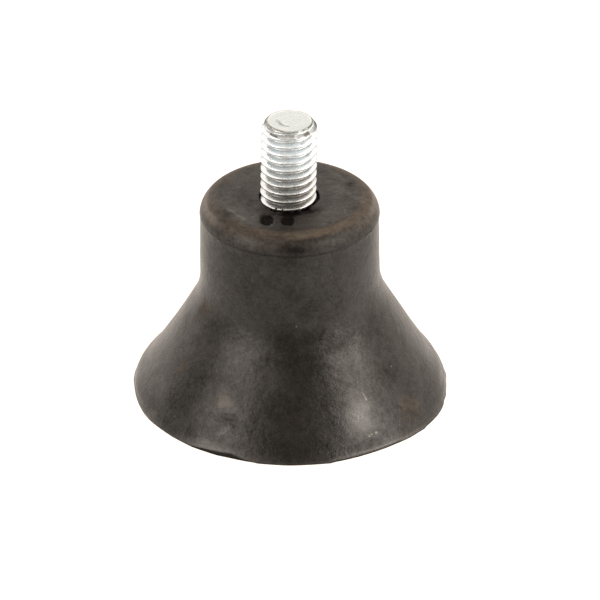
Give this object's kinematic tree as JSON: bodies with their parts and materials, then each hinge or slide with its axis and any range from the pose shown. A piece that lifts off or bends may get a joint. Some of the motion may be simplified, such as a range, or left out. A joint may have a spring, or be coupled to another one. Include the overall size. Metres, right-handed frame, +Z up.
{
  "type": "suction cup foot",
  "caption": "Bell-shaped rubber foot with a domed suction hollow underneath and a threaded M8 steel stud moulded into its flat top.",
  "frame": {"origin": "centre of the rim, on the surface that the foot stands on", "axes": "+Z up along the stud, from the rim to the stud's free end; +Y points away from the two small pits in the top, and +X to the right of them"},
  "size_m": [0.045, 0.045, 0.0429],
  "materials": {
    "rubber": "used black moulded rubber, satin, with brown bloom on the top",
    "zinc_steel": "bright zinc-plated steel"
  },
  "bodies": {
    "root": {"rubber_foot": "rubber", "threaded_stud": "zinc_steel"}
  },
  "joints": []
}
